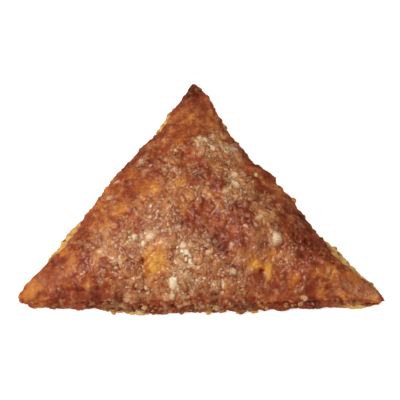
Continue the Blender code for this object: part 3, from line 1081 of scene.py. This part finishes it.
def browned_colour(tree, crust, browning, unevenness):
    """The colour of the baked wash, from pale gold to mahogany, by the browning of each point."""
    spotted = mottle(tree, BROWN_SPOTS, gain=0.5 * unevenness, offset=-0.25 * unevenness)
    specked = mottle(tree, BROWN_SPECKS, gain=0.4 * unevenness, offset=-0.2 * unevenness)
    uneven = add_node(tree, "ShaderNodeMath", {0: spotted, 1: specked}, operation="ADD")
    toasted = add_node(tree, "ShaderNodeMath", {0: browning, 1: uneven}, operation="ADD", use_clamp=True)
    colour = add_node(tree, "ShaderNodeValToRGB", {0: toasted}, "Color")
    stops = colour.node.color_ramp.elements
    shades = (crust.pale_gold, crust.gold, crust.amber, crust.russet, crust.mahogany)
    while len(stops) < len(shades):
        stops.new(0.5)
    for number, (stop, shade) in enumerate(zip(stops, shades)):
        stop.position = number / (len(shades) - 1)
        stop.color = (*shade, 1)
    return colour


def sugar_colour(tree, sugar, read, skin, amount):
    """Melted sugar over the browned skin: a stained syrup, whiter where the sugar stayed cloudy."""
    stained = {0: read["browning"], 6: sugar.honey, 7: sugar.caramel}
    syrup = add_node(tree, "ShaderNodeMix", stained, 2, data_type="RGBA")
    clouds = mottle(tree, SYRUP_CLOUDS, gain=2.0, offset=-1.1)
    veil = add_node(tree, "ShaderNodeMath", {0: amount, 1: clouds}, operation="ADD")
    thinned = {0: veil, 1: sugar.cloudiness}
    veil = add_node(tree, "ShaderNodeMath", thinned, operation="MULTIPLY", use_clamp=True)
    specks = mottle(tree, WHITE_SPECKS, gain=1.7, offset=-1.05)
    white = add_node(tree, "ShaderNodeMath", {0: read["paleness"], 1: specks}, operation="ADD")
    white = add_node(tree, "ShaderNodeMath", {0: white, 1: amount}, operation="MULTIPLY", use_clamp=True)
    veiled = add_node(tree, "ShaderNodeMix", {0: veil, 6: skin, 7: syrup}, 2, data_type="RGBA")
    return add_node(tree, "ShaderNodeMix", {0: white, 6: veiled, 7: sugar.white}, 2, data_type="RGBA")


def glazed(tree, colour, roughness, glaze, subsurface, scale):
    """A rough baked surface under a thin clear glaze, whose own fine ripple breaks the lights into glints."""
    ripple = mottle(tree, GLAZE_RIPPLE, detail=0.0)
    grain = mottle(tree, BAKED_GRAIN, detail=1.0)
    crumb = add_node(tree, "ShaderNodeMath", {0: ripple, 1: 1.5, 2: grain}, operation="MULTIPLY_ADD")
    rough = add_node(tree, "ShaderNodeBump", {"Strength": 0.6, "Distance": 0.3 * MM, "Height": crumb})
    gloss = add_node(tree, "ShaderNodeBump", {"Strength": 1.0, "Distance": 0.5 * MM, "Height": ripple})
    inputs = {
        "Base Color": colour,
        "Roughness": roughness,
        "IOR": 1.45,
        "Specular IOR Level": 0.1,
        "Normal": rough,
        "Coat Weight": glaze,
        "Coat Roughness": 0.05,
        "Coat Normal": gloss,
        "Subsurface Weight": subsurface,
        "Subsurface Radius": (1.0, 0.5, 0.25),
        "Subsurface Scale": scale,
    }
    shader = add_node(tree, "ShaderNodeBsdfPrincipled", inputs)
    add_node(tree, "ShaderNodeOutputMaterial", {"Surface": shader})


def egg_washed_puff_pastry(crust, sugar):
    """Laminated butter dough, brushed with egg, sugared and baked.

    The wash and the syrup leave a wet gloss over amber to mahogany, and the cut layers stay pale and dry.
    """
    marks = ("browning", "paleness", "lump", "syrup", "glaze", "painted_shade", "bare_dough")
    material, tree, read = new_material("egg_washed_puff_pastry", marks)
    specked = mottle(tree, BROWN_SPECKS)
    skin = browned_colour(tree, crust, read["browning"], 1.0)
    # Painted shade: the skin is multiplied by the shade tint where the painted shade mark is set, in hollows,
    # pits, folds and the crease
    tinted = {0: 1.0, 6: skin, 7: crust.painted_shade_tint}
    shaded = add_node(tree, "ShaderNodeMix", tinted, 2, data_type="RGBA", blend_type="MULTIPLY")
    skin = add_node(tree, "ShaderNodeMix", {0: read["painted_shade"], 6: skin, 7: shaded}, 2, data_type="RGBA")
    lumpy = {0: read["lump"], 1: 0.45, 2: read["syrup"]}
    amount = add_node(tree, "ShaderNodeMath", lumpy, operation="MULTIPLY_ADD")
    skin = sugar_colour(tree, sugar, read, skin, amount)
    toasted = {0: specked, 6: crust.dough_light, 7: crust.dough_deep}
    dough = add_node(tree, "ShaderNodeMix", toasted, 2, data_type="RGBA")
    skin = add_node(tree, "ShaderNodeMix", {0: read["bare_dough"], 6: skin, 7: dough}, 2, data_type="RGBA")
    roughness = add_node(tree, "ShaderNodeMath", {0: specked, 1: 0.4, 2: 0.3}, operation="MULTIPLY_ADD")
    glazed(tree, skin, roughness, read["glaze"], 0.45, 1.3 * MM)
    return material


def half_melted_sugar(crust, sugar):
    """Coarse sugar that softened in the oven: cloudy, rounded, and stained by the crust under it."""
    material, tree, read = new_material("half_melted_sugar", ("browning", "paleness"))
    paler = {0: read["paleness"], 1: 0.6, 2: 0.5}
    amount = add_node(tree, "ShaderNodeMath", paler, operation="MULTIPLY_ADD")
    stain = browned_colour(tree, crust, read["browning"], 0.8)
    glazed(tree, sugar_colour(tree, sugar, read, stain, amount), 0.35, 0.9, 0.7, 1.5 * MM)
    return material


def matte_paper(stage):
    """Seamless background paper on a light table: flat, with no gloss, and lit a little from below."""
    material, tree, _ = new_material("matte_background_paper")
    inputs = {
        "Base Color": stage.paper,
        "Roughness": 0.9,
        "IOR": 1.3,
        "Emission Color": stage.paper,
        "Emission Strength": 0.45,
    }
    shader = add_node(tree, "ShaderNodeBsdfPrincipled", inputs)
    add_node(tree, "ShaderNodeOutputMaterial", {"Surface": shader})
    return material


# ------------------------------------------------------------------ settings


class TurnoverShape(PropertyGroup):
    """The driving sizes of the pastry."""

    long_side: FloatProperty(
        name="Long Side", description="Left corner to right corner", default=163.5 * MM, unit="LENGTH"
    )
    depth: FloatProperty(name="Depth", description="Long side to apex", default=108.9 * MM, unit="LENGTH")
    edge_thickness: FloatProperty(
        name="Edge Thickness",
        description="Table to shoulder, halfway along a side",
        default=12 * MM,
        unit="LENGTH",
    )
    dome_rise: FloatProperty(
        name="Dome Rise", description="How far the filling lifts the lid", default=21 * MM, unit="LENGTH"
    )


class TurnoverCrust(PropertyGroup):
    """The fineness, relief and colours of the baked crust."""

    cells: IntProperty(name="Cells", description="Lid cells along each side", default=350)
    wall_steps: IntProperty(name="Wall Steps", description="Rows between two rings of the side", default=6)
    crinkle_height: FloatProperty(
        name="Crinkle Height",
        description="Height of the crust's fine crinkle",
        default=0.35 * MM,
        unit="LENGTH",
    )
    layer_thickness: FloatProperty(
        name="Layer Thickness",
        description="One baked layer of dough at the cut edges",
        default=0.9 * MM,
        unit="LENGTH",
    )
    layer_depth: FloatProperty(
        name="Layer Depth", description="How far torn layers stick out", default=0.45 * MM, unit="LENGTH"
    )
    pale_gold: FloatVectorProperty(
        name="Pale Gold",
        description="Crust that hardly browned",
        subtype="COLOR",
        default=linear("DCA040"),
    )
    gold: FloatVectorProperty(
        name="Gold", description="Golden crust", subtype="COLOR", default=linear("C27430")
    )
    amber: FloatVectorProperty(
        name="Amber", description="Most of the crust", subtype="COLOR", default=linear("9A4828")
    )
    russet: FloatVectorProperty(
        name="Russet", description="Well-browned crust", subtype="COLOR", default=linear("80361E")
    )
    mahogany: FloatVectorProperty(
        name="Mahogany", description="Crust that caught", subtype="COLOR", default=linear("5C2412")
    )
    dough_light: FloatVectorProperty(
        name="Dough Light",
        description="Cut layers at their palest",
        subtype="COLOR",
        default=linear("EAC680"),
    )
    dough_deep: FloatVectorProperty(
        name="Dough Deep",
        description="Cut layers where they toasted",
        subtype="COLOR",
        default=linear("C68E44"),
    )
    # Painted shade: the tint that darkens the skin in hollows, pits, folds and the crease
    painted_shade_tint: FloatVectorProperty(
        name="Hollow Tint",
        description="How hollows between lumps darken",
        subtype="COLOR",
        default=linear("CC7C58"),
    )


class TurnoverSugar(PropertyGroup):
    """How much sugar and how many crumbs there are, their sizes and their colours."""

    packing: FloatProperty(
        name="Packing", description="Gap between lump middles over their half-lengths", default=0.66
    )
    fine_count: IntProperty(name="Fine Grains", description="Small crystals", default=1500)
    side_count: IntProperty(name="Side Lumps", description="Lumps melted onto the sides", default=420)
    crumb_count: IntProperty(
        name="Crumbs",
        description="Small crumbs along the front, and half as many along the legs",
        default=60,
    )
    large_size: FloatProperty(
        name="Lump Size",
        description="Half-length of a large melted lump",
        default=2.1 * MM,
        unit="LENGTH",
    )
    lump_height: FloatProperty(
        name="Lump Height", description="Height of a melted lump over its half-length", default=0.5
    )
    fine_size: FloatProperty(
        name="Fine Size",
        description="Half-length of the largest small crystal",
        default=0.8 * MM,
        unit="LENGTH",
    )
    cloudiness: FloatProperty(
        name="Cloudiness",
        description="How much the sugar hides the crust under it",
        default=0.8,
        subtype="FACTOR",
    )
    honey: FloatVectorProperty(
        name="Honey", description="Sugar over golden crust", subtype="COLOR", default=linear("D29C5E")
    )
    caramel: FloatVectorProperty(
        name="Caramel", description="Sugar over dark crust", subtype="COLOR", default=linear("B87C50")
    )
    white: FloatVectorProperty(
        name="White", description="Sugar that hardly melted", subtype="COLOR", default=linear("EED6B2")
    )


class TurnoverStage(PropertyGroup):
    """The camera, the lights and the paper."""

    elevation: FloatProperty(
        name="Elevation",
        description="Camera height above the table",
        default=math.radians(65),
        subtype="ANGLE",
    )
    distance: FloatProperty(name="Distance", description="Camera to turnover", default=0.7, unit="LENGTH")
    view_width: FloatProperty(
        name="View Width", description="Width seen at the turnover", default=178.5 * MM, unit="LENGTH"
    )
    key_power: FloatProperty(
        name="Key Power", description="Soft box from the left", default=4.5, unit="POWER"
    )
    back_power: FloatProperty(
        name="Back Power", description="Small soft box from behind", default=2.2, unit="POWER"
    )
    fill_power: FloatProperty(
        name="Fill Power", description="Soft box from the front", default=2.4, unit="POWER"
    )
    sky: FloatProperty(name="Surround", description="Strength of the white room", default=0.3)
    lamp: FloatVectorProperty(
        name="Lamp", description="Colour of the soft boxes", subtype="COLOR", default=linear("FFFDFB")
    )
    paper: FloatVectorProperty(
        name="Paper", description="Background paper", subtype="COLOR", default=linear("FFFFFF")
    )


# ------------------------------------------------------------------ operators


class TURNOVER_OT_crust(Operator):
    """Makes the pastry: lid, layered sides and flat underside"""

    bl_idname = "turnover.crust"
    bl_label = "Make Crust"

    def execute(self, context):
        scene = context.scene
        shape, crust, sugar = scene.turnover_shape, scene.turnover_crust, scene.turnover_sugar
        set_out_corners(shape)
        vertices, faces, attributes = crust_mesh(shape, crust, sugar)
        made = as_object("crust", vertices, faces, egg_washed_puff_pastry(crust, sugar), attributes)
        close_underside(made)
        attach(made, "root")
        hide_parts("turnover")
        return {"FINISHED"}


class TURNOVER_OT_coarse_sugar(Operator):
    """Leaves the palest and largest lumps standing out of the crust"""

    bl_idname = "turnover.coarse_sugar"
    bl_label = "Add Coarse Sugar"

    def execute(self, context):
        shape, sugar = context.scene.turnover_shape, context.scene.turnover_sugar
        draw = random.Random(17)
        x, y, sizes, pale = (np.array(column) for column in zip(*LARGEST_LUMPS))
        points, sizes = np.column_stack((x, y)) * MM, LARGEST_SHOWING * sizes * MM
        shapes, faces = lump_shapes(3, 14, 5)
        here, normals = lid_frames(points, shape)
        here[:, :2] -= BOX_CENTRE
        vertices, faces, owner, height = lumps_mesh(
            here, normals, sizes * 0.85, shapes, faces, draw, 0.42, (0.4, 0.55)
        )
        attributes = sugar_marks(points, 0.9 * pale, owner, height)
        material = half_melted_sugar(context.scene.turnover_crust, sugar)
        made = as_object("coarse_sugar", vertices, faces, material, attributes)
        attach(made, "root")
        return {"FINISHED"}


class TURNOVER_OT_fine_sugar(Operator):
    """Scatters the small crystals"""

    bl_idname = "turnover.fine_sugar"
    bl_label = "Add Fine Sugar"

    def execute(self, context):
        shape, sugar = context.scene.turnover_shape, context.scene.turnover_sugar
        draw = random.Random(23)

        def weigh(points):
            away = np.min([a for _, a, _ in sides_at(points)], axis=0)
            return sugar_weight(points) ** 1.5 * (away > 1.5 * MM)

        points = scatter(sugar.fine_count, 0.8 * MM, weigh, draw)
        sizes = [sugar.fine_size * draw.uniform(0.45, 1.0) for _ in points]
        # The small crystals are paler partly as white sugar and partly as painted highlight, whiter specks
        # standing in for glints
        pale = sugar_weight(points) * np.array([draw.betavariate(1.5, 2.4) for _ in points])
        shapes, faces = lump_shapes(2, 10, 9)
        here, normals = lid_frames(points, shape)
        here[:, :2] -= BOX_CENTRE
        here[:, 2] += 0.25 * MM
        vertices, faces, owner, height = lumps_mesh(
            here, normals, sizes, shapes, faces, draw, 0.5, (0.6, 0.9)
        )
        attributes = sugar_marks(points, pale, owner, height)
        material = bpy.data.materials["half_melted_sugar"]
        made = as_object("fine_sugar", vertices, faces, material, attributes)
        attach(made, "root")
        return {"FINISHED"}


class TURNOVER_OT_crumbs(Operator):
    """Sticks crumbs of dough and sugar to the sides"""

    bl_idname = "turnover.crumbs"
    bl_label = "Add Crumbs"

    def execute(self, context):
        shape, sugar = context.scene.turnover_shape, context.scene.turnover_sugar
        draw = random.Random(31)
        crumbs = list(CRUMBS)
        clusters = [crumb for crumb in CRUMBS if crumb[0] == "front"]
        for _ in range(sugar.crumb_count):
            _, share, ring, size, paleness, browning = draw.choice(clusters)
            size *= draw.uniform(0.3, 0.7)
            share += draw.gauss(0, 0.012)
            crumbs.append(("front", share, ring, size, paleness, browning + draw.uniform(0, 0.3)))
        for _ in range(sugar.crumb_count // 2):
            side = draw.choice(("left", "right"))
            share, ring = draw.uniform(0.08, 0.92), draw.choice((2, 4))
            crumbs.append((side, share, ring, draw.uniform(0.4, 0.9), 0.0, draw.random()))
        places, normals = [], []
        for side, share, ring, _, _, _ in crumbs:
            start, end = side_ends(side)
            place = wall_at(np.array([start + (end - start) * share]), shape, ring)[0]
            place[2] = max(1.0 * MM, place[2] + draw.gauss(0, 0.8) * MM)
            place[:2] -= 0.3 * MM * outward(side)
            places.append(place - (*BOX_CENTRE, 0))
            normals.append(Vector((*outward(side), 0.6)).normalized())
        sizes = [size * MM for _, _, _, size, _, _ in crumbs]
        shapes, faces = lump_shapes(3, 12, 7)
        vertices, faces, owner, _ = lumps_mesh(places, normals, sizes, shapes, faces, draw, 0.8, (0.6, 0.8))
        vertices[:, 2] = np.maximum(vertices[:, 2], 0)
        attributes = {
            "paleness": np.array([crumb[4] for crumb in crumbs])[owner],
            "browning": np.array([crumb[5] for crumb in crumbs])[owner],
        }
        made = as_object("crumbs", vertices, faces, bpy.data.materials["half_melted_sugar"], attributes)
        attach(made, "root")
        return {"FINISHED"}


class TURNOVER_OT_stage(Operator):
    """Sets the paper, the soft lights and the camera"""

    bl_idname = "turnover.stage"
    bl_label = "Set Stage"

    def execute(self, context):
        stage = context.scene.turnover_stage
        scene = context.scene
        bpy.ops.mesh.primitive_plane_add(size=3.0)
        floor = context.object
        floor.name = "floor"
        floor.data.materials.append(matte_paper(stage))
        floor.visible_glossy = False

        scene.world = scene.world or bpy.data.worlds.new("white_room")
        scene.world.use_nodes = True
        tree = scene.world.node_tree
        tree.nodes.clear()
        room = add_node(tree, "ShaderNodeBackground", {"Color": (1, 1, 1), "Strength": stage.sky})
        add_node(tree, "ShaderNodeOutputWorld", {"Surface": room})
        scene.world.cycles_visibility.glossy = False

        for name, power, size, place in (
            ("key_softbox", stage.key_power, 0.4, (-0.6, -0.2, 0.75)),
            ("back_softbox", stage.back_power, 0.25, (-0.25, 0.4, 0.85)),
            ("fill_softbox", stage.fill_power, 0.4, (0.05, -0.38, 0.9)),
        ):
            light = bpy.data.lights.new(name, "AREA")
            light.energy = power
            light.color = stage.lamp
            light.size = size
            holder = bpy.data.objects.new(name, light)
            holder.location = place
            holder.rotation_euler = (-Vector(place)).to_track_quat("-Z", "Y").to_euler()
            scene.collection.objects.link(holder)

        # It looks a little in front of the pastry's middle, at about a third of its height
        camera = bpy.data.cameras.new("camera")
        camera.sensor_width = 36
        camera.lens = camera.sensor_width * stage.distance / stage.view_width
        holder = bpy.data.objects.new("camera", camera)
        aim = Vector((0, -4.8 * MM, 12 * MM))
        back = Vector((0, -math.cos(stage.elevation), math.sin(stage.elevation)))
        holder.location = aim + back * stage.distance
        holder.rotation_euler = (-back).to_track_quat("-Z", "Y").to_euler()
        scene.collection.objects.link(holder)
        scene.camera = holder
        scene.view_settings.view_transform = "Standard"
        return {"FINISHED"}


class TURNOVER_PT_panel(Panel):
    """Lists the pieces, and the settings that they are made from"""

    bl_idname = "TURNOVER_PT_panel"
    bl_label = "Apple Turnover"
    bl_space_type = "VIEW_3D"
    bl_region_type = "UI"
    bl_category = "Turnover"

    def draw(self, context):
        for operator in OPERATORS:
            self.layout.operator(operator.bl_idname)
        for group in GROUPS:
            settings = getattr(context.scene, group)
            box = self.layout.box()
            for key in settings.__annotations__:
                box.prop(settings, key)


OPERATORS = (
    TURNOVER_OT_crust,
    TURNOVER_OT_coarse_sugar,
    TURNOVER_OT_fine_sugar,
    TURNOVER_OT_crumbs,
    TURNOVER_OT_stage,
)
GROUPS = {
    "turnover_shape": TurnoverShape,
    "turnover_crust": TurnoverCrust,
    "turnover_sugar": TurnoverSugar,
    "turnover_stage": TurnoverStage,
}


def register():
    """Adds the settings, the operators and the panel to Blender."""
    for cls in (*GROUPS.values(), *OPERATORS, TURNOVER_PT_panel):
        bpy.utils.register_class(cls)
    for name, cls in GROUPS.items():
        setattr(bpy.types.Scene, name, PointerProperty(type=cls))


def unregister():
    """Takes them out again."""
    for name in GROUPS:
        delattr(bpy.types.Scene, name)
    for cls in reversed((*GROUPS.values(), *OPERATORS, TURNOVER_PT_panel)):
        bpy.utils.unregister_class(cls)


def main():
    """Makes every piece and the stage."""
    register()
    bpy.ops.turnover.crust()
    bpy.ops.turnover.coarse_sugar()
    bpy.ops.turnover.fine_sugar()
    bpy.ops.turnover.crumbs()
    bpy.ops.turnover.stage()


if __name__ == "__main__":
    main()
